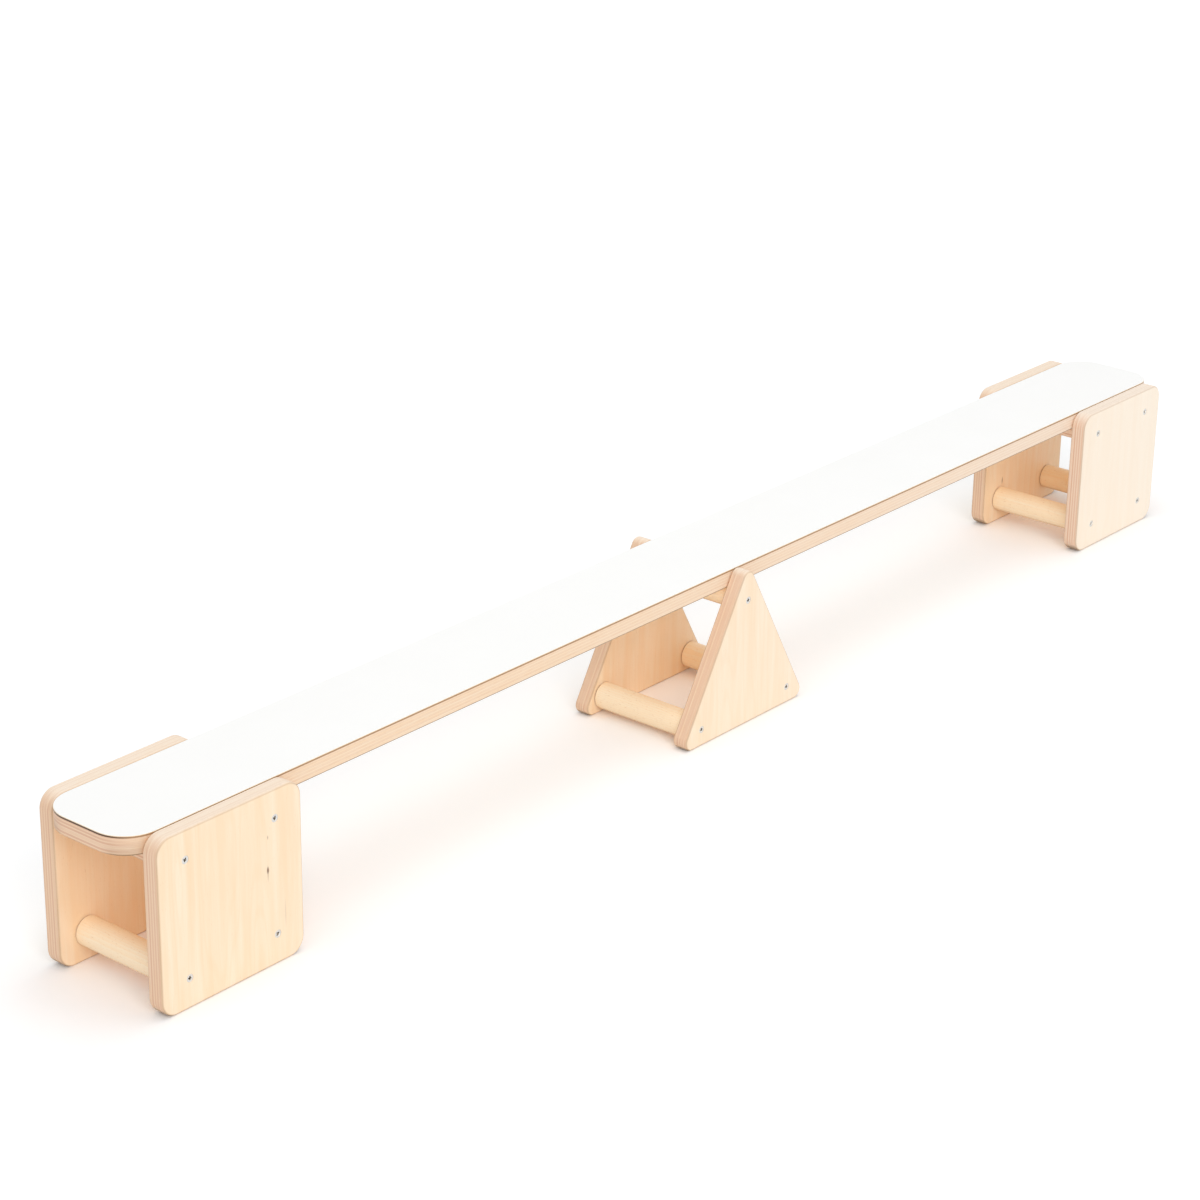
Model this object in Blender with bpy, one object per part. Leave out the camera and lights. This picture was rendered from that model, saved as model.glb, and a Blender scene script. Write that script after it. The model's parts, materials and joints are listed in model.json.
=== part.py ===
"""A wooden balance beam for children: one long board that lies loose in three stands.

Units are metres and +Z is up. The board runs along X with its middle over the origin, and the floor
is at Z = 0. The near side is -Y and the far side is +Y. The outer end of a square stand is the end
away from the middle stand.
"""

from math import pi, radians, sin, sqrt, tan

import bmesh
import bpy
from mathutils import Matrix, Vector

# Stock and fit
PLY_THICKNESS = 0.021  # birch plywood of the plates, the shelves and the board
CLEARANCE = 0.0003  # between pieces that touch
GLUE_LINE = 0.0002  # between the board and its laminate

# Board
BOARD_LENGTH = 2.000
BOARD_WIDTH = 0.135
BOARD_END_RADIUS = 0.042  # corner of the board's outline, seen from above
BOARD_EDGE_RADIUS = 0.002  # rounding of the lower edge
BOARD_SIDE_PLAY = 0.00075  # from the board to the plate on either side
LAMINATE_THICKNESS = 0.0015
LAMINATE_EDGE_RADIUS = 0.0006

# Plates of the stands
STAND_HEIGHT = 0.205  # the plates' tops, level with the board's top
SQUARE_WIDTH = 0.205
SQUARE_CORNER_RADIUS = 0.020
TRIANGLE_CORNER_RADIUS = 0.0115
PLATE_EDGE_RADIUS = 0.0025
BOARD_OVERHANG = 0.021  # board past the outer edge of a square plate

# Cross pieces of the stands
SHELF_INSET = 0.022  # from the plate's edge to the shelf's end
SHELF_EDGE_RADIUS = 0.002
SHELF_SCREW_INSET = 0.017  # from the shelf's end to its screw
LOWER_DOWEL_DIAMETER = 0.034
LOWER_DOWEL_INSET = 0.039  # from a square plate's edge to the dowel's axis
LOWER_DOWEL_HEIGHT = 0.035  # axis above the floor in a square stand
TRIANGLE_DOWEL_MARGIN = 0.005  # from the triangle's edges to its lower dowels
TOP_DOWEL_DIAMETER = 0.030
DOWEL_CHAMFER = 0.001

# Countersunk wood screws
SCREW_LENGTH = 0.060
SCREW_SHANK_DIAMETER = 0.0045
SCREW_HEAD_DIAMETER = 0.009
SCREW_HEAD_DEPTH = 0.0028
SCREW_HEAD_RIM = 0.0004
SCREW_HEAD_SINK = 0.0002  # head below the plate's face
SCREW_POINT_LENGTH = 0.006
PILOT_SPARE = 0.001  # pilot hole past the screw's point
DRILL_OVERRUN = 0.004  # drill past the faces that it goes through

# Facets
CORNER_STEPS = 8  # even, so that an arc has a point at its middle
EDGE_STEPS = 2
DOWEL_SIDES = 28
SCREW_SIDES = 12
FILLET_SHARE = 0.48  # most of a side that the rounding of one corner may take
MERGE_DISTANCE = 0.000001
SMOOTH_ANGLE = radians(35)

# Finishes: name, linear colour, roughness, metallic
BIRCH = ("birch_plywood", (0.86, 0.67, 0.45), 0.55, 0.0)
BEECH = ("turned_beech", (0.82, 0.61, 0.39), 0.50, 0.0)
LAMINATE = ("white_laminate", (0.90, 0.90, 0.89), 0.35, 0.0)
ZINC = ("zinc_plated_steel", (0.66, 0.67, 0.69), 0.30, 1.0)

# Places that follow from the sizes
board_bottom = STAND_HEIGHT - LAMINATE_THICKNESS - GLUE_LINE - PLY_THICKNESS
support_height = board_bottom - CLEARANCE
inner_gap = BOARD_WIDTH + 2 * BOARD_SIDE_PLAY
cross_length = inner_gap - 2 * CLEARANCE
outer_face = inner_gap / 2 + PLY_THICKNESS
square_centre = BOARD_LENGTH / 2 - BOARD_OVERHANG - SQUARE_WIDTH / 2
hole_radius = SCREW_SHANK_DIAMETER / 2 + CLEARANCE
pilot_depth = SCREW_LENGTH + SCREW_HEAD_SINK - PLY_THICKNESS - CLEARANCE + PILOT_SPARE

# Pieces are made along local Z. These turns lay that axis along Y, its top end to the named side.
TOP_END_TO = {"near": Matrix.Rotation(pi / 2, 4, "X"), "far": Matrix.Rotation(-pi / 2, 4, "X")}
SIDE_SIGN = {"near": -1, "far": 1}


def clear_scene():
    for item in list(bpy.data.objects):
        bpy.data.objects.remove(item)


def finish_material(finish):
    """The Principled material of a finish, made once."""
    name, colour, roughness, metallic = finish
    material = bpy.data.materials.get(name) or bpy.data.materials.new(name)
    material.use_nodes = True
    shader = material.node_tree.nodes["Principled BSDF"]
    shader.inputs["Base Color"].default_value = (*colour, 1.0)
    shader.inputs["Roughness"].default_value = roughness
    shader.inputs["Metallic"].default_value = metallic
    material.diffuse_color = (*colour, 1.0)
    return material


def add_body(name, place):
    """An empty that carries the pieces of one loose part of the beam."""
    body = bpy.data.objects.new(name, None)
    body.location = place
    bpy.context.collection.objects.link(body)
    return body


def add_piece(name, shape, finish, body, place, turn=Matrix()):
    """One sub-part, placed within the body that carries it; smooth on its rounds, sharp on its edges."""
    mesh = bpy.data.meshes.new(name)
    shape.to_mesh(mesh)
    shape.free()
    mesh.shade_smooth()
    mesh.set_sharp_from_angle(angle=SMOOTH_ANGLE)
    mesh.materials.append(finish_material(finish))
    piece = bpy.data.objects.new(name, mesh)
    piece.parent = body
    piece.location = place
    piece.rotation_euler = turn.to_euler()
    bpy.context.collection.objects.link(piece)
    return piece


def drill(piece, profile, places):
    """Cuts a hole of the turned profile at each place, a matrix in the frame of the piece's body."""
    tools = bmesh.new()
    for place in places:
        tool = turned(profile, SCREW_SIDES)
        tool.transform(place)
        mesh = bpy.data.meshes.new(piece.name + "_drill")
        tool.to_mesh(mesh)
        tool.free()
        tools.from_mesh(mesh)
        bpy.data.meshes.remove(mesh)
    cutter = add_piece(piece.name + "_drill", tools, ZINC, piece.parent, (0, 0, 0))
    cutter.hide_render = True
    cutter.display_type = "WIRE"
    cut = piece.modifiers.new("screw_holes", "BOOLEAN")
    cut.operation = "DIFFERENCE"
    cut.solver = "EXACT"
    cut.object = cutter


def rounded(corners, radius):
    """An anticlockwise outline with a tangent arc at each corner."""
    outline = []
    for index, corner in enumerate(corners):
        to_before = corners[index - 1] - corner
        to_after = corners[(index + 1) % len(corners)] - corner
        half_angle = to_before.angle(to_after) / 2
        longest = FILLET_SHARE * min(to_before.length, to_after.length)
        tangent = min(radius / tan(half_angle), longest)
        inwards = (to_before.normalized() + to_after.normalized()).normalized()
        centre = corner + inwards * tangent * tan(half_angle) / sin(half_angle)
        start = corner + to_before.normalized() * tangent - centre
        for step in range(CORNER_STEPS + 1):
            angle = (pi - 2 * half_angle) * step / CORNER_STEPS
            outline.append(centre + Matrix.Rotation(angle, 2) @ start)
    return outline


def rectangle(width, height, base):
    """Corners of a rectangle centred on X = 0 with its lower side at Y = base, anticlockwise."""
    half = width / 2
    top = base + height
    return [Vector(corner) for corner in ((-half, base), (half, base), (half, top), (-half, top))]


def triangle(height):
    """Corners of an equilateral triangle that stands on Y = 0, anticlockwise."""
    half = height / sqrt(3)
    return [Vector(corner) for corner in ((-half, 0), (half, 0), (0, height))]


def extruded(outline, depth, edge_radius=0.0, rounded_ends=()):
    """The outline drawn out along Z from 0 to depth, with its rim rounded at the chosen ends."""
    shape = bmesh.new()
    bottom = shape.faces.new([shape.verts.new((point.x, point.y, 0)) for point in outline])
    grown = bmesh.ops.extrude_face_region(shape, geom=[bottom], use_keep_orig=True)["geom"]
    raised = [item for item in grown if isinstance(item, bmesh.types.BMVert)]
    bmesh.ops.translate(shape, verts=raised, vec=(0, 0, depth))
    ends = {"bottom": bottom, "top": next(item for item in grown if isinstance(item, bmesh.types.BMFace))}
    rim = [edge for end in rounded_ends for edge in ends[end].edges]
    if rim:
        bmesh.ops.bevel(shape, geom=rim, offset=edge_radius, segments=EDGE_STEPS, profile=0.5, affect="EDGES")
    bmesh.ops.recalc_face_normals(shape, faces=shape.faces)
    return shape


def turned(profile, sides):
    """A solid of revolution about Z; the profile holds (radius, height) pairs from axis to axis."""
    shape = bmesh.new()
    points = [shape.verts.new((radius, 0, height)) for radius, height in profile]
    lines = [shape.edges.new(pair) for pair in zip(points, points[1:])]
    bmesh.ops.spin(shape, geom=points + lines, cent=(0, 0, 0), axis=(0, 0, 1), angle=2 * pi, steps=sides)
    bmesh.ops.remove_doubles(shape, verts=shape.verts, dist=MERGE_DISTANCE)
    bmesh.ops.recalc_face_normals(shape, faces=shape.faces)
    return shape


def screw_profile():
    """A countersunk wood screw, the top of its head at height 0 and its point below."""
    shank = SCREW_SHANK_DIAMETER / 2
    head = SCREW_HEAD_DIAMETER / 2
    return [(0, 0), (head, 0), (head, -SCREW_HEAD_RIM), (shank, -SCREW_HEAD_DEPTH),
            (shank, SCREW_POINT_LENGTH - SCREW_LENGTH), (0, -SCREW_LENGTH)]


def countersink_profile():
    """The drill for a plate: a clear hole and the seat of a screw's head, the plate's face at height 0."""
    head = SCREW_HEAD_DIAMETER / 2 + CLEARANCE
    through = -PLY_THICKNESS - DRILL_OVERRUN
    return [(0, DRILL_OVERRUN), (head, DRILL_OVERRUN), (head, -SCREW_HEAD_RIM - SCREW_HEAD_SINK),
            (hole_radius, -SCREW_HEAD_DEPTH - SCREW_HEAD_SINK), (hole_radius, through), (0, through)]


def pilot_profile():
    """The drill for the edge of a shelf: a blind hole for the screw, the edge at height 0."""
    return [(0, DRILL_OVERRUN), (hole_radius, DRILL_OVERRUN), (hole_radius, -pilot_depth), (0, -pilot_depth)]


def dowel_profile(diameter):
    """A turned dowel with chamfered ends and a blind screw hole in each, centred on height 0."""
    radius = diameter / 2
    half = cross_length / 2
    upper = [(0, half - pilot_depth), (hole_radius, half - pilot_depth), (hole_radius, half),
             (radius - DOWEL_CHAMFER, half), (radius, half - DOWEL_CHAMFER)]
    lower = [(out, -height) for out, height in reversed(upper)]
    return upper + lower


def at_side(side, x, z, distance):
    """A place on a side of the beam: distance from the middle plane, local Z pointing outwards."""
    return Matrix.Translation((x, SIDE_SIGN[side] * distance, z)) @ TOP_END_TO[side]


def add_plates(body, outline, screw_places):
    """The two plates of a stand, drilled and countersunk, with the screws that come in through them."""
    for side in ("near", "far"):
        plate_bottom = {"near": -inner_gap / 2, "far": outer_face}[side]
        plate = extruded(outline, PLY_THICKNESS, PLATE_EDGE_RADIUS, ("bottom", "top"))
        piece = add_piece(f"{body.name}_{side}_plate", plate, BIRCH, body, (0, plate_bottom, 0),
                          TOP_END_TO["near"])
        drill(piece, countersink_profile(),
              [at_side(side, x, z, outer_face) for x, z in screw_places.values()])
        for label, (x, z) in screw_places.items():
            place = at_side(side, x, z, outer_face - SCREW_HEAD_SINK)
            add_piece(f"{body.name}_{side}_screw_{label}", turned(screw_profile(), SCREW_SIDES), ZINC, body,
                      place.to_translation(), place)


def add_dowel(body, label, diameter, x, z):
    """A round cross piece between the two plates of a stand."""
    add_piece(f"{body.name}_dowel_{label}", turned(dowel_profile(diameter), DOWEL_SIDES), BEECH, body,
              (x, 0, z), TOP_END_TO["near"])


def add_square_stand(name, outwards):
    """An end stand: two square plates, a shelf under the board and two lower dowels."""
    body = add_body(name, (outwards * square_centre, 0, 0))
    shelf_length = SQUARE_WIDTH - 2 * SHELF_INSET
    shelf_bottom = support_height - PLY_THICKNESS
    shelf_screw = shelf_length / 2 - SHELF_SCREW_INSET
    dowel_offset = SQUARE_WIDTH / 2 - LOWER_DOWEL_INSET
    ends = {"outer": outwards, "inner": -outwards}
    shelf_screws = {f"shelf_{end}": (sign * shelf_screw, shelf_bottom + PLY_THICKNESS / 2)
                    for end, sign in ends.items()}
    dowel_screws = {f"dowel_{end}": (sign * dowel_offset, LOWER_DOWEL_HEIGHT) for end, sign in ends.items()}

    plate_outline = rounded(rectangle(SQUARE_WIDTH, STAND_HEIGHT, 0), SQUARE_CORNER_RADIUS)
    add_plates(body, plate_outline, shelf_screws | dowel_screws)

    shelf_section = rounded(rectangle(shelf_length, PLY_THICKNESS, shelf_bottom), SHELF_EDGE_RADIUS)
    shelf = add_piece(f"{name}_shelf", extruded(shelf_section, cross_length), BIRCH, body,
                      (0, cross_length / 2, 0), TOP_END_TO["near"])
    drill(shelf, pilot_profile(),
          [at_side(side, x, z, cross_length / 2) for side in SIDE_SIGN for x, z in shelf_screws.values()])

    for end, sign in ends.items():
        add_dowel(body, end, LOWER_DOWEL_DIAMETER, sign * dowel_offset, LOWER_DOWEL_HEIGHT)


def add_middle_stand():
    """The middle stand: two triangular plates, a dowel under the board and two lower dowels."""
    body = add_body("middle_stand", (0, 0, 0))
    sharp_height = STAND_HEIGHT + TRIANGLE_CORNER_RADIUS
    lower_height = LOWER_DOWEL_DIAMETER / 2 + TRIANGLE_DOWEL_MARGIN
    lower_offset = (sharp_height / 3 - lower_height) * sqrt(3)
    top_height = support_height - TOP_DOWEL_DIAMETER / 2
    screw_places = {"top": (0, top_height), "left": (-lower_offset, lower_height),
                    "right": (lower_offset, lower_height)}

    add_plates(body, rounded(triangle(sharp_height), TRIANGLE_CORNER_RADIUS), screw_places)
    for label, (x, z) in screw_places.items():
        diameter = TOP_DOWEL_DIAMETER if label == "top" else LOWER_DOWEL_DIAMETER
        add_dowel(body, label, diameter, x, z)


def add_board():
    """The board: a plywood plank with a white laminate on its top."""
    body = add_body("board", (0, 0, board_bottom))
    outline = rounded(rectangle(BOARD_LENGTH, BOARD_WIDTH, -BOARD_WIDTH / 2), BOARD_END_RADIUS)
    add_piece("beam_board", extruded(outline, PLY_THICKNESS, BOARD_EDGE_RADIUS, ("bottom",)), BIRCH, body,
              (0, 0, 0))
    add_piece("beam_top_laminate", extruded(outline, LAMINATE_THICKNESS, LAMINATE_EDGE_RADIUS, ("top",)),
              LAMINATE, body, (0, 0, PLY_THICKNESS + GLUE_LINE))


clear_scene()
add_middle_stand()
add_board()
add_square_stand("left_stand", -1)
add_square_stand("right_stand", 1)
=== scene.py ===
# %% [markdown]
# # A wooden balance beam
#
# A long plywood board lies loose in three stands, a square one at each end and a triangle in the middle.
# Each stand is two plywood plates that are held apart by cross pieces and countersunk screws.
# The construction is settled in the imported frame, which is loaded first. This script is about looks: it
# gives the plain solids finer meshes in the same places, and every surface the finish of its material.

# %% Load the frame
import json
import math
from collections import namedtuple

import bmesh
import bpy
from mathutils import Matrix, Quaternion, Vector


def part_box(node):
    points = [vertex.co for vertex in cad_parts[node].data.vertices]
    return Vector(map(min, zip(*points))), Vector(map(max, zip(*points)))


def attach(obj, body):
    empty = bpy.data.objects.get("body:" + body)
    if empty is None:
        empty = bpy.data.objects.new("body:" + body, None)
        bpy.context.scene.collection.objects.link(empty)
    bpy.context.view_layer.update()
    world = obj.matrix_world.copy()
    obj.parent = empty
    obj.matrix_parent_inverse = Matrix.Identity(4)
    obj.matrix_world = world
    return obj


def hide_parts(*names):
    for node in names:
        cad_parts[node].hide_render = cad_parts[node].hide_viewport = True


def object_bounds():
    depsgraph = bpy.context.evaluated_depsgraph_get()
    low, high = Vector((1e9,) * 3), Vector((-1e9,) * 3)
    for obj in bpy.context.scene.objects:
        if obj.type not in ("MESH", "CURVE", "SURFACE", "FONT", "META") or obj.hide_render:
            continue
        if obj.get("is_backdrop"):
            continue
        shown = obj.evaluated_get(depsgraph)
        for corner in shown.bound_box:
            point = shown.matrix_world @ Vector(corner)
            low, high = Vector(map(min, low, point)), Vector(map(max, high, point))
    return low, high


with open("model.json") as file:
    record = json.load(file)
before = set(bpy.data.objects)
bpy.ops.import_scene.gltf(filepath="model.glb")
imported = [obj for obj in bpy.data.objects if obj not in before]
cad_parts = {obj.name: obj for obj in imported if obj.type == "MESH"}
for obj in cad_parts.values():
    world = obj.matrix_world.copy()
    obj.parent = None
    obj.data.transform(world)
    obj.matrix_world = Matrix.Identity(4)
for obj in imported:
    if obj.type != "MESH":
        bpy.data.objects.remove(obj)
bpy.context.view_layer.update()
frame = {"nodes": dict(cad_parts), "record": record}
MM = 0.001

# %% [markdown]
# ## Colours and nodes
#
# Colours are picked on a screen, so they are written as sRGB hex values. Shaders calculate in
# linear light, so one function converts them. A second function adds a node to any tree, with its
# settings and its links, because both the materials and the screws are made of nodes.

# %% Colour and node helpers
def linear(hex_colour):
    """An sRGB hex colour as the linear RGBA that shaders take."""
    channels = [int(hex_colour[place:place + 2], 16) / 255 for place in (0, 2, 4)]
    return (*[c / 12.92 if c <= 0.04045 else ((c + 0.055) / 1.055) ** 2.4 for c in channels], 1.0)


def add_node(tree, kind, inputs=None, **settings):
    """Adds a node and returns its outputs. An input takes a value, a socket, or a list of sockets.

    A kind without the word Node in it is a shader node, so Math stands for ShaderNodeMath."""
    node = tree.nodes.new(kind if "Node" in kind else f"ShaderNode{kind}")
    for name, value in settings.items():
        setattr(node, name, value)
    for key, value in (inputs or {}).items():
        if isinstance(value, bpy.types.NodeSocket):
            tree.links.new(value, node.inputs[key])
        elif isinstance(value, list):
            for socket in value:
                tree.links.new(socket, node.inputs[key])
        else:
            node.inputs[key].default_value = value
    return node.outputs


# A Mix node has one set of sockets for each type of data. These are the places of its inputs A and B and of
# its output, and its factor is input 0. A Map Range node has the number in input 0, the span that it comes
# from in 1 and 2, and the span that it is brought to in 3 and 4. Left alone, a span runs from 0 to 1.
NUMBER_A, NUMBER_B = 2, 3
COLOUR_A, COLOUR_B, COLOUR_OUT = 6, 7, 2
VECTOR_A, VECTOR_B, VECTOR_OUT = 4, 5, 1

print("half of full brightness on a screen is", round(linear("808080")[0], 3), "in linear light")

# %% [markdown]
# ## What all finishes share
#
# No real surface has one even colour. Each finish starts from a base colour and lays others over it, each
# by a share that a pattern gives. One pattern also drives the roughness, and a fine bump gives relief.
# Patterns read Object coordinates, so they are as large as their millimetres say.

# %% Material helpers
X, Y, Z = 0, 1, 2  # the outputs of a Separate XYZ node
NOISE_LOW, NOISE_HIGH = 0.3, 0.7  # a noise texture hardly leaves this span
RELIEF_DEPTH = 0.1 * MM
FINISH_IOR = 1.5  # oiled wood and resin alike


def new_material(name):
    """An empty material, its node tree, and the socket that gives the place of a point."""
    material = bpy.data.materials.new(name)
    material.use_nodes = True
    tree = material.node_tree
    tree.nodes.clear()
    return material, tree, add_node(tree, "TexCoord")["Object"]


def surface_direction(tree):
    """How far the surface faces along X, Y and Z, each from -1 to 1."""
    normal = add_node(tree, "NewGeometry")["Normal"]
    return add_node(tree, "SeparateXYZ", {0: normal})


def layered(tree, colour, layers):
    """Lays the paint of each layer over the colour so far, by the layer's share."""
    for share, paint in layers:
        colour = add_node(tree, "Mix", {0: share, COLOUR_A: colour, COLOUR_B: paint},
                          data_type="RGBA")[COLOUR_OUT]
    return colour


def finish_material(tree, inputs, noise, roughness, relief=None, relief_share=1.0):
    """Ends a tree in one Principled shader, its roughness led by a noise and its bump by a relief."""
    smooth, rough = roughness
    uneven = add_node(tree, "MapRange", {0: noise, 1: NOISE_LOW, 2: NOISE_HIGH, 3: smooth, 4: rough})[0]
    inputs = inputs | {"Roughness": uneven}
    if relief is not None:
        inputs["Normal"] = add_node(tree, "Bump", {
            "Height": relief, "Strength": relief_share, "Distance": RELIEF_DEPTH})[0]
    shader = add_node(tree, "BsdfPrincipled", inputs)
    add_node(tree, "OutputMaterial", {"Surface": shader[0]})


print("bumps of up to", RELIEF_DEPTH / MM, "mm")

# %% [markdown]
# ## The grain of wood
#
# Wood grows in long fibres, so its marks are far longer than wide. A noise texture is round, but where the
# point that it reads is squeezed along the grain, its blots are drawn out into streaks.

# %% Grain helpers
# A mark grows from nothing, where its noise has the value start, to the share most, where it has the value
# full. Detail makes it ragged.
Mark = namedtuple("Mark", "width length detail start full most")
GRAIN_RELIEF = 0.25  # share of the bump's depth that sanded grain has


def grain_noises(tree, point, grain):
    """A noise for each mark of the grain, drawn out along the point's Y."""
    noises = {}
    for name, mark in grain.items():
        stretch = (1 / mark.width, 1 / mark.length, 1 / mark.width)
        scaled = add_node(tree, "VectorMath", {0: point, 1: stretch}, operation="MULTIPLY")[0]
        noises[name] = add_node(tree, "TexNoise", {"Vector": scaled, "Scale": 1.0, "Detail": mark.detail})[0]
    return noises


def grain_shares(tree, noises, grain):
    """How much of each mark shows at a point."""
    return {name: add_node(tree, "MapRange", {
        0: noises[name], 1: mark.start, 2: mark.full, 3: 0.0, 4: mark.most})[0]
        for name, mark in grain.items()}


print("a mark of the grain has", ", ".join(Mark._fields))

# %% [markdown]
# ## Birch plywood
#
# Plywood is a stack of thin veneers, glued with the grain of each across the next. A cut edge shows the
# stack as stripes: a veneer that runs along the edge is pale, and one that ends there is darker. Stripes
# could be painted on the edges alone, but then every rounding and every countersink would need its own.
# Here the material is a solid block instead. It works out which veneer a point lies in and which way that
# veneer's grain runs, so any cut through the block shows the right stripes.

# %% The stack of plies
PLY_COUNT = 11  # a 21 mm sheet has about 15 plies, drawn thicker so that the stripes show
PLY_MARGIN = 0.01  # keeps the sheet's own faces inside the first and the last ply
PLY_SHIFT = 0.173  # moves the pattern from ply to ply, so that no two are alike


def ply_stack(tree, level, inner, outer):
    """How many plies deep a point lies, the number of its ply, and 1 where that ply is turned across."""
    level = add_node(tree, "Math", {0: level}, operation="ABSOLUTE")[0]
    stack = add_node(tree, "MapRange", {
        0: level, 1: inner, 2: outer, 3: PLY_MARGIN, 4: PLY_COUNT - PLY_MARGIN})[0]
    ply = add_node(tree, "Math", {0: stack}, operation="FLOOR")[0]
    crossed = add_node(tree, "Math", {0: ply, 1: 2.0}, operation="MODULO")[0]
    return stack, ply, crossed


def ply_point(tree, place, axes, ply, crossed):
    """A point in its ply's own directions: across its grain, along its grain, through its thickness."""
    across, along, depth = axes
    straight, turned = [
        add_node(tree, "CombineXYZ", {0: place[first], 1: place[second], 2: place[depth]})[0]
        for first, second in ((across, along), (along, across))]
    point = add_node(tree, "Mix", {0: crossed, VECTOR_A: straight, VECTOR_B: turned},
                     data_type="VECTOR")[VECTOR_OUT]
    shift = add_node(tree, "Math", {0: ply, 1: PLY_SHIFT}, operation="MULTIPLY")[0]
    return add_node(tree, "VectorMath", {0: point, 1: shift}, operation="ADD")[0]


plate_low, plate_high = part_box("left_stand_far_plate")
print("one ply is", round((plate_high.y - plate_low.y) / PLY_COUNT / MM, 2), "mm thick")

# %% [markdown]
# The face of birch is almost white, with broad soft bands and a faint figure along the grain, fine fibres
# and short dark pores. The figure's lines are the contour lines of a field of low hills.

# %% The face of birch
BIRCH_GRAIN = {  # real fibres are ten times finer and wouldn't show
    "band": Mark(13 * MM, 260 * MM, 3.0, 0.34, 0.66, 1.0),
    "figure": Mark(38 * MM, 330 * MM, 1.0, 0.2, 1.0, 0.20),
    "fibre": Mark(0.8 * MM, 30 * MM, 2.0, 0.35, 0.70, 0.20),
    "pore": Mark(0.7 * MM, 6 * MM, 1.0, 0.69, 0.78, 0.30),
}
FIGURE_WAVES = 9 * math.tau  # nine lines between the lowest and the highest of the figure's hills


def birch_marks(tree, point):
    """The noise of birch's fibres, and how much of each of its marks shows at a point."""
    noises = grain_noises(tree, point, BIRCH_GRAIN)
    hills = add_node(tree, "Math", {0: noises["figure"], 1: FIGURE_WAVES}, operation="MULTIPLY")[0]
    noises["figure"] = add_node(tree, "Math", {0: hills}, operation="SINE")[0]
    return noises["fibre"], grain_shares(tree, noises, BIRCH_GRAIN)


print("marks of birch:", ", ".join(BIRCH_GRAIN))

# %% [markdown]
# A cut edge is darker than a face, because its open grain takes up more oil, and a ply that ends there is
# darker again, each by its own chance. Thin glue lines run between the plies. A fine darker line is drawn
# half way round every rounding, weaker where the rounding faces up. All of it follows from the way that
# the surface faces and from the ply that a point lies in.

# %% Cut edges
EDGE_TONE = 0.46  # share of the end grain's colour on a cut edge
PLY_TONES = (0.05, 0.60)  # further share of it on a ply that ends there, from the palest to the darkest
GLUE_SHARE, GLUE_FADE, GLUE_END = 0.3, 0.05, 0.15  # the last two are parts of a ply's thickness
INSIDE_SHEET = 0.9  # of a ply: just short of the first glue line
RIM_TONE = 0.5  # share of the line's colour half way round a rounding


def cut_edge_share(tree, facing, axes, ply, crossed, edge_tones):
    """How much darker the wood is where the sheet was cut."""
    across, along, _ = axes
    ends = [add_node(tree, "Math", {0: facing[axis]}, operation="ABSOLUTE")[0] for axis in (along, across)]
    end_grain = add_node(tree, "Mix", {0: crossed, NUMBER_A: ends[0], NUMBER_B: ends[1]})[0]
    chance = add_node(tree, "TexWhiteNoise", {"W": ply}, noise_dimensions="1D")["Value"]
    tone = add_node(tree, "MapRange", {0: chance, 3: PLY_TONES[0], 4: PLY_TONES[1]})[0]
    stripe = add_node(tree, "Math", {0: end_grain, 1: tone, 2: EDGE_TONE}, operation="MULTIPLY_ADD")[0]
    edge = 0.0
    for axis, edge_tone in zip((along, across), edge_tones):
        squared = add_node(tree, "Math", {0: facing[axis], 1: facing[axis]}, operation="MULTIPLY")[0]
        edge = add_node(tree, "Math", {0: squared, 1: edge_tone, 2: edge}, operation="MULTIPLY_ADD")[0]
    return add_node(tree, "Math", {0: stripe, 1: edge}, operation="MULTIPLY")[0]


def glue_share(tree, stack):
    """A glue line at the start of each ply, apart from the first, which starts at the surface."""
    within = add_node(tree, "Math", {0: stack}, operation="FRACT")[0]
    line = add_node(tree, "MapRange", {0: within, 1: GLUE_FADE, 2: GLUE_END, 3: GLUE_SHARE, 4: 0.0})[0]
    inside = add_node(tree, "Math", {0: stack, 1: INSIDE_SHEET}, operation="GREATER_THAN")[0]
    return add_node(tree, "Math", {0: line, 1: inside}, operation="MULTIPLY")[0]


def rim_share(tree, facing_out, upward):
    """A fine dark line, darkest half way round, where twice the tilt from the face is a right angle."""
    tilt = add_node(tree, "Math", {0: facing_out}, operation="ARCCOSINE")[0]
    doubled = add_node(tree, "Math", {0: tilt, 1: 2.0}, operation="MULTIPLY")[0]
    wave = add_node(tree, "Math", {0: doubled}, operation="SINE")[0]
    rim = add_node(tree, "Math", {0: wave, 1: wave}, operation="MULTIPLY")[0]
    rim_strength = add_node(tree, "MapRange", {0: upward, 3: RIM_TONE, 4: 0.0})[0]
    return add_node(tree, "Math", {0: rim, 1: rim_strength}, operation="MULTIPLY")[0]


print("share of end grain on an edge:", EDGE_TONE, "and up to", PLY_TONES[1], "more where a ply ends")

# %% [markdown]
# The wood is painted paler where more light falls: on the near side, more so towards the right end, and
# on the edges that face up. The roundings that face down get painted shade, at the plates' corners on the
# floor and along the board's lower edge. A few small knots are stretched along the grain.

# %% Painted light, painted shade and knots
# Painted light along X and along Y: from one place to another, and how much paler the wood is at each.
PAINTED_LIGHT_ALONG = {X: (-300 * MM, 900 * MM, 0.1, 0.65), Y: (-40 * MM, 40 * MM, 1.0, 0.1)}
TOP_LIGHT_SHARE = 0.45  # how much painted light pales the edges that face up
SHADED_SIDES = (0.1, 0.4)  # how far a rounding faces sideways where the painted shade starts and where it is full
NO_UNDERSIDE_SHADE = (0.0, -0.5, -1.0)
KNOT_CORE = 0.3  # part of a knot that has its full colour


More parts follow.
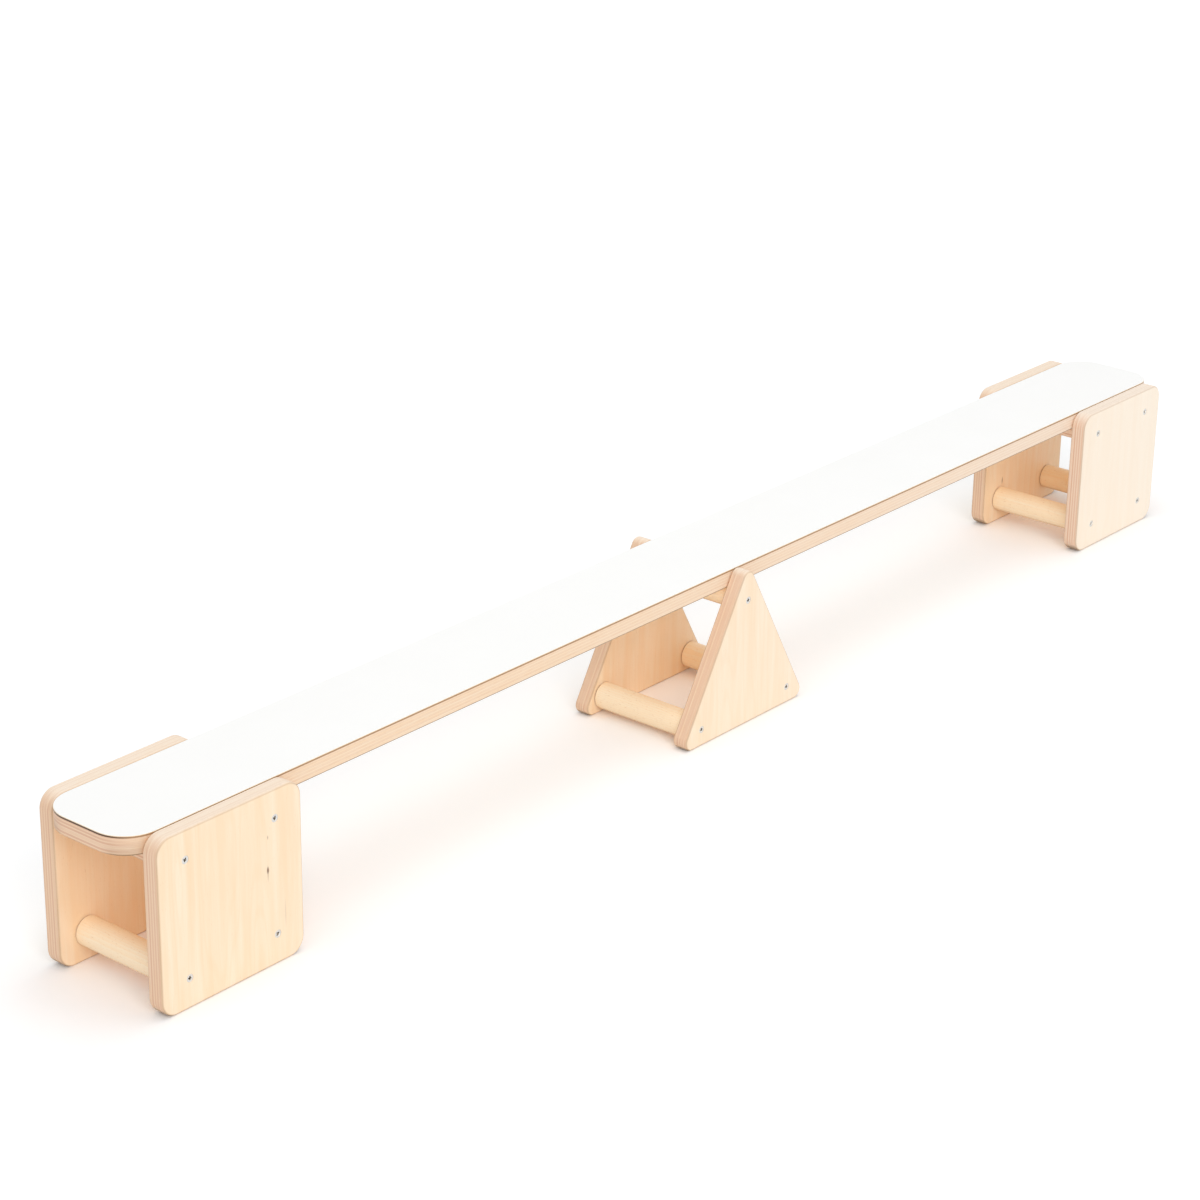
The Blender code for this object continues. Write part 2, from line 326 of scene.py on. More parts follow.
def painted_light_share(tree, place, upward):
    """How much paler the wood is painted where more light falls."""
    paler = 1.0
    for axis, (start, end, first, last) in PAINTED_LIGHT_ALONG.items():
        part = add_node(tree, "MapRange", {0: place[axis], 1: start, 2: end, 3: first, 4: last})[0]
        paler = add_node(tree, "Math", {0: paler, 1: part}, operation="MULTIPLY")[0]
    top_lit = add_node(tree, "Math", {0: upward, 1: TOP_LIGHT_SHARE}, operation="MULTIPLY")[0]
    return add_node(tree, "Math", {0: paler, 1: top_lit}, operation="MAXIMUM")[0]


def underside_shade_share(tree, facing, across, shade_below):
    """Painted shade on the roundings that face down and to the side."""
    most, start, full = shade_below
    lower = add_node(tree, "MapRange", {0: facing[Z], 1: start, 2: full, 3: 0.0, 4: most})[0]
    sideways = add_node(tree, "Math", {0: facing[across]}, operation="ABSOLUTE")[0]
    corner = add_node(tree, "MapRange", {0: sideways, 1: SHADED_SIDES[0], 2: SHADED_SIDES[1]})[0]
    return add_node(tree, "Math", {0: lower, 1: corner}, operation="MULTIPLY")[0]


def knot_share(tree, spot, along, knot):
    """A dark core that fades to the rim of a long blot."""
    centre, (half_width, half_length), most = knot
    stretch = [1 / half_width] * 3
    stretch[along] = 1 / half_length
    offset = add_node(tree, "VectorMath", {0: spot, 1: centre}, operation="SUBTRACT")[0]
    scaled = add_node(tree, "VectorMath", {0: offset, 1: tuple(stretch)}, operation="MULTIPLY")[0]
    reach = add_node(tree, "VectorMath", {0: scaled}, operation="LENGTH")["Value"]
    return add_node(tree, "MapRange", {0: reach, 1: KNOT_CORE, 2: 1.0, 3: most, 4: 0.0})[0]


near_face = -plate_high.y
far_inner_face = plate_low.y
PLATE_KNOTS = [  # the middle, half the width and half the length, and how dark it is
    ((-825 * MM, near_face, 115 * MM), (2.0 * MM, 5 * MM), 0.9),
    ((-825 * MM, near_face, 112 * MM), (1.2 * MM, 12 * MM), 0.35),
    ((-824 * MM, near_face, 153 * MM), (1.0 * MM, 3 * MM), 0.5),
    ((-801 * MM, near_face, 56 * MM), (1.4 * MM, 20 * MM), 0.16),
    ((820 * MM, far_inner_face, 60 * MM), (1.3 * MM, 7 * MM), 0.9),
]
print(len(PLATE_KNOTS), "knots and streaks")

# %% [markdown]
# All of that is laid over the pale wood in turn. The wood is sanded and oiled, so it is nearly matt. The
# plates' grain stands upright, and that of the board and the shelves runs along the beam.

# %% Birch plywood finish
BIRCH_PALE, BIRCH_WARM = linear("FCE8CD"), linear("F9DDBA")
BIRCH_FIGURE, BIRCH_PORE = linear("F1D2A6"), linear("CFA373")
BIRCH_END_GRAIN, GLUE_BROWN = linear("DDB295"), linear("B88C6C")
# The palest colour is painted light, on the near side, towards the right end and on top edges.
BIRCH_LIT, KNOT_BROWN = linear("FFF8EE"), linear("6B4029")
# The second colour is painted shade under the roundings that face down.
RIM_LINE_BROWN, UNDERSIDE_SHADE_BROWN = linear("A47D52"), linear("785E40")
BIRCH_ROUGHNESS = (0.46, 0.60)
UPWARD_FROM = 0.4  # how far up a rounding faces where the painted top light starts


def birch_plywood(name, axes, inner, outer, edge_tones, shade_below=NO_UNDERSIDE_SHADE, knots=()):
    """Plywood with axes across and along its face grain and through its plies, from inner to outer.

    The edge tones tell how dark its edges are, first those across the face grain and then those along it.
    Shade below is a share of painted shade, and how far down a rounding has to face for none of it and for
    all of it."""
    across, along, depth = axes
    material, tree, spot = new_material(name)
    place = add_node(tree, "SeparateXYZ", {0: spot})
    facing = surface_direction(tree)
    upward = add_node(tree, "MapRange", {0: facing[Z], 1: UPWARD_FROM, 2: 1.0})[0]
    stack, ply, crossed = ply_stack(tree, place[depth], inner, outer)
    fibre, share = birch_marks(tree, ply_point(tree, place, axes, ply, crossed))
    colour = layered(tree, BIRCH_PALE, [
        (share["band"], BIRCH_WARM), (share["figure"], BIRCH_FIGURE),
        (share["fibre"], BIRCH_FIGURE), (share["pore"], BIRCH_PORE),
        # Painted light: paler on the near side, towards the right end and where the wood faces up.
        (painted_light_share(tree, place, upward), BIRCH_LIT),
        (cut_edge_share(tree, facing, axes, ply, crossed, edge_tones), BIRCH_END_GRAIN),
        (glue_share(tree, stack), GLUE_BROWN),
        (rim_share(tree, facing[depth], upward), RIM_LINE_BROWN),
        *[(knot_share(tree, spot, along, knot), KNOT_BROWN) for knot in knots],
        # Painted shade on the roundings that face down.
        (underside_shade_share(tree, facing, across, shade_below), UNDERSIDE_SHADE_BROWN),
    ])
    relief = add_node(tree, "Math", {0: fibre, 1: share["pore"]}, operation="SUBTRACT")[0]
    finish_material(tree, {"Base Color": colour, "IOR": FINISH_IOR}, fibre, BIRCH_ROUGHNESS,
                    relief, GRAIN_RELIEF)
    return material


board_low, board_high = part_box("beam_board")
shelf_low, shelf_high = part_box("left_stand_shelf")
# The plates' top and bottom edges take a quarter of the edge tone of their sides: painted light on the top
# edges.
plate_birch = birch_plywood("birch plywood, upright", (X, Z, Y), plate_low.y, plate_high.y,
                            edge_tones=(0.25, 1.0), shade_below=(0.7, -0.4, -0.7), knots=PLATE_KNOTS)
board_birch = birch_plywood("birch plywood, board", (Y, X, Z), board_low.z, board_high.z,
                            edge_tones=(1.1, 0.42), shade_below=(0.8, 0.0, -0.3))
shelf_birch = birch_plywood("birch plywood, shelf", (Y, X, Z), shelf_low.z, shelf_high.z,
                            edge_tones=(1.0, 1.0))

for birch in (plate_birch, board_birch, shelf_birch):
    print("made", birch.name, "of", len(birch.node_tree.nodes), "nodes")

# %% [markdown]
# ## Turned beech
#
# The dowels are planed or turned from straight beech. Growth rings run through the rod as long lines, and
# beech has its own mark, short dark ray flecks. Both come from solid patterns along the rod. A ring
# pattern round a far centre gives the slight curve of rings in a sawn stick. The chamfers at the ends cut
# across the grain and drink more oil, and their dark colour also paints the shade in each joint, so each
# joint shows as a fine dark ring. A darker streak along the underside is painted shade.

# %% Turned beech finish
BEECH_PALE, BEECH_WARM = linear("FFF1D8"), linear("FDE2BA")
BEECH_FLECK, BEECH_END_GRAIN_AND_SHADE = linear("DCB180"), linear("9C7047")
BEECH_UNDERSIDE_SHADE = linear("B08050")
BEECH_ROUGHNESS = (0.42, 0.56)
BEECH_GRAIN = {  # real fibres are finer here too
    "fibre": Mark(1.0 * MM, 45 * MM, 2.0, 0.35, 0.70, 0.3),
    "fleck": Mark(0.8 * MM, 5 * MM, 2.0, 0.62, 0.72, 0.5),
}
RING_SPACING = 2.6 * MM
RING_SHARES = (0.15, 0.65)  # of the warm colour, from the start of a year's ring to its end
RING_WAVER = {"Distortion": 2.0, "Detail": 2.0, "Detail Scale": 0.4}
LOG_HEART = (-60 * MM, 0.0, 140 * MM)  # where the rings of all sticks have their centre
WAVE_UNIT = 20  # a ring texture of scale 1 has this many radians of phase in a metre
UNDERSIDE_FACING = (-0.55, -0.75)  # how far down the wood faces where the painted shade starts and where it is full
UNDERSIDE_SHADE_SHARE = 0.35


def turned_beech():
    """Straight-grained beech, its grain along Y."""
    material, tree, spot = new_material("turned beech")
    noises = grain_noises(tree, spot, BEECH_GRAIN)
    share = grain_shares(tree, noises, BEECH_GRAIN)
    centred = add_node(tree, "Mapping", {"Vector": spot, "Location": LOG_HEART}, vector_type="TEXTURE")[0]
    ring_scale = math.tau / WAVE_UNIT / RING_SPACING
    rings = add_node(tree, "TexWave", {"Vector": centred, "Scale": ring_scale, **RING_WAVER},
                     wave_type="RINGS", rings_direction="Y", wave_profile="SAW")["Fac"]
    ring_share = add_node(tree, "MapRange", {0: rings, 3: RING_SHARES[0], 4: RING_SHARES[1]})[0]
    facing = surface_direction(tree)
    # End grain, and painted shade at each joint, on the chamfers and ends.
    end_grain_and_shade = add_node(tree, "Math", {0: facing[Y]}, operation="ABSOLUTE")[0]
    # Painted shade along the underside of each rod.
    shaded_underside = add_node(tree, "MapRange", {
        0: facing[Z], 1: UNDERSIDE_FACING[0], 2: UNDERSIDE_FACING[1], 3: 0.0, 4: UNDERSIDE_SHADE_SHARE})[0]
    colour = layered(tree, BEECH_PALE, [
        (ring_share, BEECH_WARM), (share["fibre"], BEECH_WARM), (share["fleck"], BEECH_FLECK),
        (end_grain_and_shade, BEECH_END_GRAIN_AND_SHADE), (shaded_underside, BEECH_UNDERSIDE_SHADE),
    ])
    finish_material(tree, {"Base Color": colour, "IOR": FINISH_IOR}, noises["fibre"], BEECH_ROUGHNESS,
                    noises["fibre"], GRAIN_RELIEF)
    return material


beech = turned_beech()
print("made", beech.name, "with rings", RING_SPACING / MM, "mm apart")

# %% [markdown]
# ## White laminate
#
# The walking surface is a sheet of high-pressure laminate: a white printed paper over a core of brown
# papers in resin. The white is only a skin, so the cut edge shows as a thin brown line all round the board.
# The material reads the height of a point: white down to the skin's depth, cream on the filed bevel, and
# brown below. The long sides are sawn and stay tan, and the brown edge is much darker where it faces an end.
# The top has the fine pebbled texture that such sheets are pressed with, so its gloss is soft.

# %% White laminate finish
LAMINATE_WHITE, LAMINATE_SHADE = linear("FDFDFC"), linear("FAFAF8")
CORE_TAN, CORE_BROWN = linear("B48D69"), linear("A07753")
END_EDGE_DARK, BEVEL_CREAM = linear("52341C"), linear("F3DFC0")
LAMINATE_ROUGHNESS = (0.34, 0.44)
SKIN_DEPTH = 0.1 * MM
SKIN_BLEND = 0.05 * MM
LAMINATE_BEVEL = 0.7 * MM
PEBBLE_SIZE = 1.2 * MM
PEBBLE_RELIEF = 0.15
CLOUD_SIZE = 90 * MM
END_DARK_FACING = (0.6, 0.97)  # how far the edge faces an end where the darkening starts and where it is full
top_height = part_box("beam_top_laminate")[1].z


def white_laminate():
    """A pebbled white skin over a brown core."""
    material, tree, spot = new_material("white laminate")
    pebbles = add_node(tree, "TexVoronoi", {"Vector": spot, "Scale": 1 / PEBBLE_SIZE},
                       feature="SMOOTH_F1")["Distance"]
    clouds = add_node(tree, "TexNoise", {"Vector": spot, "Scale": 1 / CLOUD_SIZE, "Detail": 4.0})[0]
    endways = add_node(tree, "Math", {0: surface_direction(tree)[X]}, operation="ABSOLUTE")[0]
    # The brown edge is darker where it faces an end.
    end_dark = add_node(tree, "MapRange", {0: endways, 1: END_DARK_FACING[0], 2: END_DARK_FACING[1]})[0]
    white = layered(tree, LAMINATE_WHITE, [(clouds, LAMINATE_SHADE)])
    layers = [(pebbles, CORE_BROWN), (end_dark, END_EDGE_DARK)]
    height = add_node(tree, "SeparateXYZ", {0: spot})[Z]
    for depth, paint in ((LAMINATE_BEVEL, BEVEL_CREAM), (SKIN_DEPTH, white)):
        base = top_height - depth
        above = add_node(tree, "MapRange", {0: height, 1: base - SKIN_BLEND, 2: base})[0]
        layers.append((above, paint))
    finish_material(tree, {"Base Color": layered(tree, CORE_TAN, layers), "IOR": FINISH_IOR}, clouds,
                    LAMINATE_ROUGHNESS, pebbles, PEBBLE_RELIEF)
    return material


laminate = white_laminate()
print("made", laminate.name, "with a skin of", SKIN_DEPTH / MM, "mm")

# %% [markdown]
# ## Zinc-plated steel
#
# The wood screws are steel with a bright zinc plating, pale grey with faint spangles. Plating is thin and
# follows the metal under it, so the gloss changes a little from place to place. Hardly any zinc reaches
# into the recess, and painted shade darkens it as well, so the metal is darker there.

# %% Zinc-plated steel finish
ZINC_BRIGHT, ZINC_DULL, RECESS_STEEL_AND_SHADE = linear("E9E8E5"), linear("CCCBC7"), linear("8F8578")
ZINC_ROUGHNESS = (0.24, 0.40)
SPANGLE_SIZE = 1.1 * MM
RECESS_START = 0.3 * MM
head_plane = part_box("left_stand_far_screw_dowel_outer")[1].y


def zinc_steel():
    """Bright zinc plating on cold-headed steel."""
    material, tree, spot = new_material("zinc-plated steel")
    spangle = add_node(tree, "TexNoise", {"Vector": spot, "Scale": 1 / SPANGLE_SIZE, "Detail": 3.0})[0]
    side = add_node(tree, "SeparateXYZ", {0: spot})[Y]
    outwards = add_node(tree, "Math", {0: side}, operation="ABSOLUTE")[0]
    # Painted shade in the recess, over the thinner plating there.
    sunk = add_node(tree, "MapRange", {
        0: outwards, 1: head_plane - 2 * RECESS_START, 2: head_plane - RECESS_START, 3: 1.0, 4: 0.0})[0]
    colour = layered(tree, ZINC_BRIGHT, [(spangle, ZINC_DULL), (sunk, RECESS_STEEL_AND_SHADE)])
    finish_material(tree, {"Base Color": colour, "Metallic": 1.0}, spangle, ZINC_ROUGHNESS)
    return material


zinc = zinc_steel()
print("made", zinc.name, "with spangles of", SPANGLE_SIZE / MM, "mm")

# %% [markdown]
# ## From shapes to pieces
#
# Every piece follows the same last steps: a mesh, a material, the body that it moves with, and the
# plain solids that it stands for, which are hidden. Large flat faces are shaded flat and everything
# else smooth, so that roundings look round and faces stay even.

# %% Piece helpers
SHARP_ANGLE = math.radians(38)
FLAT_AREA = 400 * MM * MM  # faces larger than this are the flats of a sheet


def add_object(name, mesh):
    """An object at the origin, its place being in its mesh."""
    piece = bpy.data.objects.new(name, mesh)
    bpy.context.scene.collection.objects.link(piece)
    return piece


def mesh_of(shape, name, material):
    """Turns a bmesh into a mesh with one material."""
    mesh = bpy.data.meshes.new(name)
    shape.to_mesh(mesh)
    shape.free()
    mesh.materials.append(material)
    return mesh


def baked(source):
    """The shape of an object after its modifiers, as a plain mesh. The source is removed."""
    graph = bpy.context.evaluated_depsgraph_get()
    mesh = bpy.data.meshes.new_from_object(source.evaluated_get(graph))
    bpy.data.objects.remove(source)
    return mesh


def finish_piece(name, mesh, body, nodes):
    """Shades a mesh, sets it on its body and hides the plain solids that it stands for."""
    mesh.shade_smooth()
    mesh.set_sharp_from_angle(angle=SHARP_ANGLE)
    for face in mesh.polygons:
        face.use_smooth = face.area < FLAT_AREA
    piece = add_object(name, mesh)
    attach(piece, body)
    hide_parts(*nodes)
    print(name, "rides on", body, "with", len(mesh.polygons), "faces")


body_nodes = frame["record"]["behaviour"]["bodies"]
stands = [body for body in body_nodes if body.endswith("stand")]
print("stands:", ", ".join(stands))

# %% [markdown]
# ## Where the screws sit
#
# Each screw of the frame says where a head lies and which way it was driven. The places of one stand become
# the points of a small mesh, with the direction kept on each point. Both the screws and the drilled holes
# are then put on these points, so a head can't miss its seat.

# %% Screw points
def screw_nodes(body, side=""):
    """The screws of a stand, or of one side of it."""
    return [node for node in body_nodes[body] if f"{side}_screw" in node]


def screw_points(body, side=""):
    """A mesh with a point at the middle of each screw head, which keeps the direction it is driven in."""
    heads, directions = [], []
    for node in screw_nodes(body, side):
        low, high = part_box(node)
        middle = (low + high) / 2
        inwards = -1.0 if middle.y > 0 else 1.0
        heads.append((middle.x, low.y if inwards > 0 else high.y, middle.z))
        directions.append((0.0, inwards, 0.0))
    mesh = bpy.data.meshes.new(f"{body}_screw_points")
    mesh.from_pydata(heads, [], [])
    driven = mesh.attributes.new("inwards", "FLOAT_VECTOR", "POINT")
    driven.data.foreach_set("vector", [number for direction in directions for number in direction])
    return mesh


screw_low, screw_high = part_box(screw_nodes("left_stand", "near")[0])
screw_length = screw_high.y - screw_low.y
head_diameter = screw_high.x - screw_low.x
print("screws:", {body: len(screw_nodes(body)) for body in stands},
      "heads", round(head_diameter / MM, 1), "mm, length", round(screw_length / MM, 1), "mm")

# %% [markdown]
# ## The screws
#
# A countersunk wood screw has a flat head with a cross recess, a plain shank under it, and a thread that
# ends in a point. Twenty-two alike screws are a job for Geometry Nodes: one screw is made from the sizes in
# a catalogue, which are the tree's inputs, and set on every point, each turned by a chance angle, because
# nobody lines up the recesses.

# %% A tree with named inputs
def new_tree(name, inputs):
    """A geometry node tree with a mesh going in, and the sockets of its inputs by name."""
    tree = bpy.data.node_groups.new(name, "GeometryNodeTree")
    tree.interface.new_socket("Geometry", in_out="INPUT", socket_type="NodeSocketGeometry")
    for label, kind in inputs.items():
        tree.interface.new_socket(label, in_out="INPUT", socket_type=f"NodeSocket{kind}")
    tree.interface.new_socket("Geometry", in_out="OUTPUT", socket_type="NodeSocketGeometry")
    return tree, add_node(tree, "NodeGroupInput")


def finish_tree(tree, shape, material):
    """Gives a shape its material and sends it out of the tree."""
    finished = add_node(tree, "GeometryNodeSetMaterial", {"Geometry": shape, "Material": material})[0]
    add_node(tree, "NodeGroupOutput", {"Geometry": finished})


def add_tree(piece, tree, values):
    """Puts a tree on an object and sets its inputs, each by its socket's identifier."""
    modifier = piece.modifiers.new(tree.name, "NODES")
    modifier.node_group = tree
    for item in tree.interface.items_tree:
        if item.in_out == "INPUT" and item.name in values:
            modifier[item.identifier] = values[item.name]


def set_on_points(tree, points, instance):
    """Sets a copy of a shape on each point, its own Z axis pointing into the wood."""
    inwards = add_node(tree, "GeometryNodeInputNamedAttribute", {"Name": "inwards"},
                       data_type="FLOAT_VECTOR")["Attribute"]
    turn = add_node(tree, "FunctionNodeAlignRotationToVector", {"Vector": inwards}, axis="Z")[0]
    return add_node(tree, "GeometryNodeInstanceOnPoints",
                    {"Points": points, "Instance": instance, "Rotation": turn})[0]


print("every tree ends in a Set Material node")

# %% [markdown]
# A screw's body is a row of sections, from the head's rim to the point. A lathe would turn it in one go.
# Here a disc is drawn out by the length of each section, and its end is scaled to the diameter there.

# %% The body of a screw
SCREW_SIDES = 40
MERGE_DISTANCE = 0.001 * MM
SCREW_SIZES = {
    "Head Diameter": head_diameter, "Head Rim": 0.4 * MM, "Head Taper": 2.4 * MM,
    "Shank Diameter": 4.4 * MM, "Shank Length": 20 * MM, "Core Diameter": 3.2 * MM, "Core Step": 0.4 * MM,
    "Thread Pitch": 2.2 * MM, "Thread Height": 0.6 * MM, "Point Length": 6 * MM, "Tip Diameter": 0.4 * MM,
    "Recess Span": 5.4 * MM, "Recess Width": 1.9 * MM, "Recess Depth": 2.6 * MM,
}
SCREW_SECTIONS = {  # the length of each section, and the diameter that it ends in
    "Head Rim": "Head Diameter", "Head Taper": "Shank Diameter", "Shank Length": "Shank Diameter",
    "Core Step": "Core Diameter", "Thread Length": "Core Diameter", "Point Length": "Tip Diameter",
}
ABOVE_THREAD = ("Head Rim", "Head Taper", "Shank Length", "Core Step")
beside_thread = sum(SCREW_SIZES[length] for length in (*ABOVE_THREAD, "Point Length"))
SCREW_SIZES["Thread Length"] = screw_length - beside_thread


def screw_body(tree, size):
    """A closed screw without recess and thread."""
    radius = add_node(tree, "Math", {0: size["Head Diameter"], 1: 0.5}, operation="MULTIPLY")[0]
    disc = add_node(tree, "GeometryNodeMeshCircle", {"Vertices": SCREW_SIDES, "Radius": radius},
                    fill_type="NGON")[0]
    body, end, diameter = disc, True, size["Head Diameter"]
    for length, end_diameter in SCREW_SECTIONS.items():
        drawn = add_node(tree, "GeometryNodeExtrudeMesh", {
            "Mesh": body, "Selection": end, "Offset Scale": size[length], "Individual": False})
        scale = add_node(tree, "Math", {0: size[end_diameter], 1: diameter}, operation="DIVIDE")[0]
        body = add_node(tree, "GeometryNodeScaleElements",
                        {"Geometry": drawn["Mesh"], "Selection": drawn["Top"], "Scale": scale})[0]
        end, diameter = drawn["Top"], size[end_diameter]
    head_top = add_node(tree, "GeometryNodeFlipFaces", {"Mesh": disc})[0]
    closed = add_node(tree, "GeometryNodeJoinGeometry", {"Geometry": [body, head_top]})[0]
    return add_node(tree, "GeometryNodeMergeByDistance", {
        "Geometry": closed, "Distance": MERGE_DISTANCE})[0]


print("screw sections in mm:", {length: round(SCREW_SIZES[length] / MM, 1) for length in SCREW_SECTIONS})

# %% [markdown]
# The cross recess is two tapered bars cut out of the head, each a cone with four sides, turned and scaled.
# The thread is a small triangle that follows a spiral round the core.

# %% The recess and the thread
RECESS_TAPER = 0.4  # width at the bottom of the recess, as a part of the width at its mouth
CUTTER_LIFT = -0.1  # part of a cutter's depth that stays outside, so that it cuts cleanly
THREAD_STEPS, THREAD_SIDES = 20, 3


def recess_bars(tree, size):
    """Two crossed bars of unit size, scaled to the recess."""
    corner = math.sqrt(0.5)  # from the middle of a unit square to its corner
    bar = add_node(tree, "GeometryNodeMeshCone", {
        "Vertices": 4, "Radius Top": RECESS_TAPER * corner, "Radius Bottom": corner, "Depth": 1.0})[0]
    bar = add_node(tree, "GeometryNodeTransform", {
        "Geometry": bar, "Translation": (0, 0, CUTTER_LIFT), "Rotation": (0, 0, math.radians(45))})[0]
    bars = []
    for first, second in (("Recess Span", "Recess Width"), ("Recess Width", "Recess Span")):
        scale = add_node(tree, "CombineXYZ", {0: size[first], 1: size[second], 2: size["Recess Depth"]})[0]
        bars.append(add_node(tree, "GeometryNodeTransform", {"Geometry": bar, "Scale": scale})[0])
    return bars


def screw_thread(tree, size):
    """A ridge round the core, from its step to where the point begins."""
    radius = add_node(tree, "Math", {0: size["Core Diameter"], 1: 0.5}, operation="MULTIPLY")[0]
    threaded = size["Thread Length"]
    rounds = add_node(tree, "Math", {0: threaded, 1: size["Thread Pitch"]}, operation="DIVIDE")[0]
    spiral = add_node(tree, "GeometryNodeCurveSpiral", {
        "Resolution": THREAD_STEPS, "Rotations": rounds, "Start Radius": radius, "End Radius": radius,
        "Height": threaded})[0]
    ridge = add_node(tree, "GeometryNodeCurvePrimitiveCircle", {
        "Resolution": THREAD_SIDES, "Radius": size["Thread Height"]})[0]
    thread = add_node(tree, "GeometryNodeCurveToMesh", {
        "Curve": spiral, "Profile Curve": ridge, "Fill Caps": True})[0]
    start = 0.0
    for length in ABOVE_THREAD:
        start = add_node(tree, "Math", {0: start, 1: size[length]}, operation="ADD")[0]
    place = add_node(tree, "CombineXYZ", {2: start})[0]
    return add_node(tree, "GeometryNodeTransform", {"Geometry": thread, "Translation": place})[0]


print("thread of", round(SCREW_SIZES["Thread Length"] / SCREW_SIZES["Thread Pitch"], 1), "turns")

# %% The screws of each stand
def wood_screw_tree():
    """Makes a countersunk screw and sets one on each point of the mesh that goes in."""
    kinds = {size: "Float" for size in SCREW_SIZES} | {"Turn Seed": "Int", "Material": "Material"}
    tree, size = new_tree("wood screws", kinds)
    recessed = add_node(tree, "GeometryNodeMeshBoolean", {
        "Mesh 1": screw_body(tree, size), "Mesh 2": recess_bars(tree, size)},
        operation="DIFFERENCE", solver="EXACT")["Mesh"]
    parts = [recessed, screw_thread(tree, size)]
    screw = add_node(tree, "GeometryNodeJoinGeometry", {"Geometry": parts})[0]
    screws = set_on_points(tree, size["Geometry"], screw)
    angle = add_node(tree, "FunctionNodeRandomValue", {
        "Max": math.pi / 2, "Seed": size["Turn Seed"]})["Value"]
    spin = add_node(tree, "CombineXYZ", {2: angle})[0]
    screws = add_node(tree, "GeometryNodeRotateInstances", {"Instances": screws, "Rotation": spin})[0]
    real = add_node(tree, "GeometryNodeRealizeInstances", {"Geometry": screws})[0]
    finish_tree(tree, real, size["Material"])
    return tree


screw_tree = wood_screw_tree()
for seed, stand in enumerate(stands):
    points = add_object(f"{stand}_screw_seats", screw_points(stand))
    add_tree(points, screw_tree, SCREW_SIZES | {"Turn Seed": seed, "Material": zinc})
    finish_piece(f"{stand}_screws", baked(points), stand, screw_nodes(stand))

# %% [markdown]
# ## The plates
#
# A plate is routed from sheet, its edges are rounded over, and it is drilled and countersunk. The blank is
# an outline with arcs at its corners, drawn out to the sheet's thickness and bevelled. A second node tree
# drills it: it sets drills on the same points as the screws and cuts them out of the blank. The plywood
# material is solid, so the roundings and countersinks show their plies without any more work.

# %% Rounded sheets
ARC_STEPS = 18


def rectangle(left, bottom, right, top):
    """The corners of a rectangle, anticlockwise."""
    return [Vector(corner) for corner in ((left, bottom), (right, bottom), (right, top), (left, top))]


def rounded(corners, radius):
    """An anticlockwise outline with a tangent arc at each corner."""
    outline = []
    for index, corner in enumerate(corners):
        back = (corners[index - 1] - corner).normalized()
        ahead = (corners[(index + 1) % len(corners)] - corner).normalized()
        half_angle = back.angle(ahead) / 2
        centre = corner + (back + ahead).normalized() * radius / math.sin(half_angle)
        start = corner + back * radius / math.tan(half_angle) - centre
        for step in range(ARC_STEPS + 1):
            turn = (math.pi - 2 * half_angle) * step / ARC_STEPS
            outline.append(centre + Matrix.Rotation(turn, 2) @ start)
    return outline


def sheet_blank(outline, low, high, radius, steps, rounded_ends):
    """An outline in X and Y drawn out along Z from low to high, with the rim rounded at the chosen ends."""
    shape = bmesh.new()
    bottom = shape.faces.new([shape.verts.new((*point, low)) for point in outline])
    grown = bmesh.ops.extrude_face_region(shape, geom=[bottom], use_keep_orig=True)["geom"]
    raised = [item for item in grown if isinstance(item, bmesh.types.BMVert)]
    bmesh.ops.translate(shape, verts=raised, vec=(0, 0, high - low))
    top = next(item for item in grown if isinstance(item, bmesh.types.BMFace))
    rim = [edge for end in rounded_ends for edge in {"bottom": bottom, "top": top}[end].edges]
    bmesh.ops.bevel(shape, geom=rim, offset=radius, segments=steps, profile=0.5, affect="EDGES")
    bmesh.ops.recalc_face_normals(shape, faces=shape.faces)
    return shape


print("arcs of", ARC_STEPS, "steps")

# %% The drill tree
HOLE_DIAMETER = 5.1 * MM
SEAT_DIAMETER = head_diameter + 0.5 * MM
SEAT_DEPTH = 3.0 * MM
DRILL_SIDES = 40


def drill_tree():
    """Drills and countersinks a plate at the points of another object."""
    sizes = ("Hole Diameter", "Seat Diameter", "Seat Depth", "Hole Depth")
    kinds = {"Screw Points": "Object", **{size: "Float" for size in sizes}, "Material": "Material"}
    tree, size = new_tree("countersunk holes", kinds)
    points = add_node(tree, "GeometryNodeObjectInfo", {"Object": size["Screw Points"]})["Geometry"]
    hole_radius, seat_radius = [
        add_node(tree, "Math", {0: size[diameter], 1: 0.5}, operation="MULTIPLY")[0]
        for diameter in ("Hole Diameter", "Seat Diameter")]
    seat = add_node(tree, "GeometryNodeMeshCone", {
        "Vertices": DRILL_SIDES, "Radius Top": hole_radius, "Radius Bottom": seat_radius,
        "Depth": size["Seat Depth"]})[0]
    seat_start = add_node(tree, "Math", {0: size["Seat Depth"], 1: CUTTER_LIFT}, operation="MULTIPLY")[0]
    seat_place = add_node(tree, "CombineXYZ", {2: seat_start})[0]
    seat = add_node(tree, "GeometryNodeTransform", {"Geometry": seat, "Translation": seat_place})[0]
    hole = add_node(tree, "GeometryNodeMeshCylinder", {
        "Vertices": DRILL_SIDES, "Radius": hole_radius, "Depth": size["Hole Depth"]})["Mesh"]
    drilled = size["Geometry"]
    for bit in (hole, seat):
        bits = set_on_points(tree, points, bit)
        bits = add_node(tree, "GeometryNodeRealizeInstances", {"Geometry": bits})[0]
        drilled = add_node(tree, "GeometryNodeMeshBoolean", {"Mesh 1": drilled, "Mesh 2": bits},
                           operation="DIFFERENCE", solver="EXACT")["Mesh"]
    finish_tree(tree, drilled, size["Material"])
    return tree


drilling = drill_tree()
print("drill tree of", len(drilling.nodes), "nodes")

